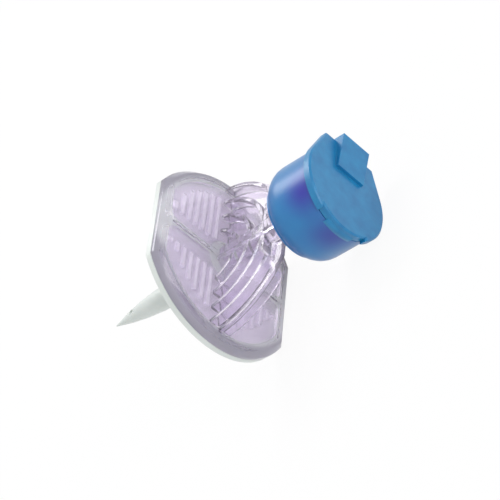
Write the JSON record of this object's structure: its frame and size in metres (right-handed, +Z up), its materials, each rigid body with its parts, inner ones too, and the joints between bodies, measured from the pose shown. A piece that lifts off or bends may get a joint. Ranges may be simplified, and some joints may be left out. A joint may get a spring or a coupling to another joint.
{
  "type": "vial dispensing spike",
  "caption": "Dispensing spike with a hollow ogive spike, round plate with two flats, finger grip of nested arches, Luer-lock port and hinged flip cap.",
  "frame": {"origin": "centre of the underside of the bounding box, on the surface that the part lies on", "axes": "+X along the length towards the port and cap, +Y along the grip's arches towards the lid's thumb tab, +Z up as the part lies on one flat of its plate and the lid's edge; the port axis dips 12.8 degrees below +X"},
  "size_m": [0.0626, 0.04, 0.0348],
  "materials": {
    "white_plastic": "satin moulded plastic",
    "clear_plastic": "clear moulded plastic with a faint lilac tint",
    "filter_membrane": "matte membrane",
    "blue_plastic": "satin moulded plastic"
  },
  "bodies": {
    "housing": {"spike_base": "white_plastic", "clear_housing": "clear_plastic", "vent_filter_near": "filter_membrane", "vent_filter_far": "filter_membrane", "cap_cup": "blue_plastic"},
    "lid": {"flip_lid": "blue_plastic"}
  },
  "joints": [
    {"name": "lid_hinge", "type": "hinge", "parent": "housing", "child": "lid", "pos_m": [0.02726, -0.00995, 0.01044], "axis": [-0.2214, 0, -0.9752], "range_deg": [0, 150]}
  ]
}
